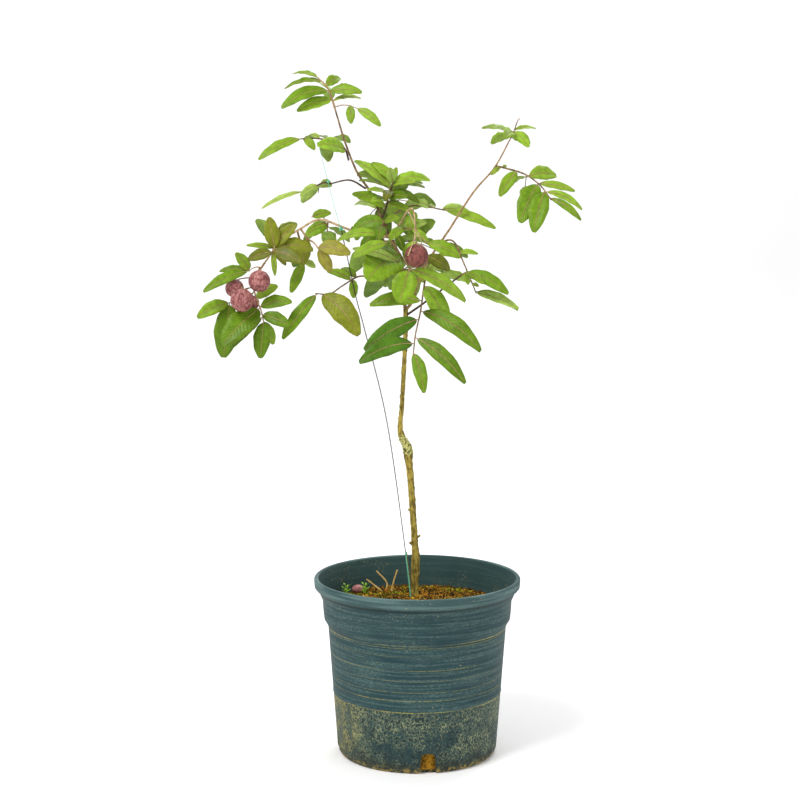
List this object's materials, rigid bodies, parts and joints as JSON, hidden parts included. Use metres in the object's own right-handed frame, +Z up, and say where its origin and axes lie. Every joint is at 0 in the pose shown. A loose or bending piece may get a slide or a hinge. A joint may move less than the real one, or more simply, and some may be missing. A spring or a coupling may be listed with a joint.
{
  "type": "potted longan tree",
  "caption": "Young grafted longan tree with hanging leathery leaves and a few rough pinkish fruits, its branches tied down with green twine, standing in a round dark nursery pot",
  "frame": {"origin": "the centre of the flat underside of the pot, on the level that the pot stands on", "axes": "+Z up along the trunk; -Y is the front, the side seen in the picture; +X is to the right in the picture"},
  "size_m": [0.5437, 0.3147, 0.983],
  "materials": {
    "plastic": "dark green moulded plastic, scuffed, with dried earth low down",
    "soil": "crumbly orange-brown potting soil",
    "bark": "thin olive-brown bark, greener on young shoots",
    "foliage": "leathery half-gloss green leaves with pale pinkish ribs",
    "fruit": "rough warty skin, dull pinkish brown",
    "twine": "thin green twine"
  },
  "bodies": {
    "root": {"pot": "plastic", "soil": "soil", "stub_left": "bark", "stub_middle": "bark", "stub_right": "bark", "fallen_fruit": "fruit", "trunk": "bark", "leader": "bark", "right_bough": "bark", "lower_right_bough": "bark", "left_bough": "bark", "drooping_branch": "bark", "twine": "twine", "back_high": "foliage", "back_low": "foliage", "back_middle": "foliage", "centre_left": "foliage", "centre_right": "foliage", "crown_tip": "foliage", "crown_top": "foliage", "front_hanging": "foliage", "front_left": "foliage", "fruit_spray": "foliage", "leader_side": "foliage", "left_back": "foliage", "left_drooping": "foliage", "left_fruit": "foliage", "left_inner": "foliage", "left_low": "foliage", "left_outer": "foliage", "left_under": "foliage", "lower_right": "foliage", "right_arm": "foliage", "right_crossing": "foliage", "right_inner": "foliage", "right_rachis": "foliage", "right_tip": "foliage"}
  },
  "joints": []
}
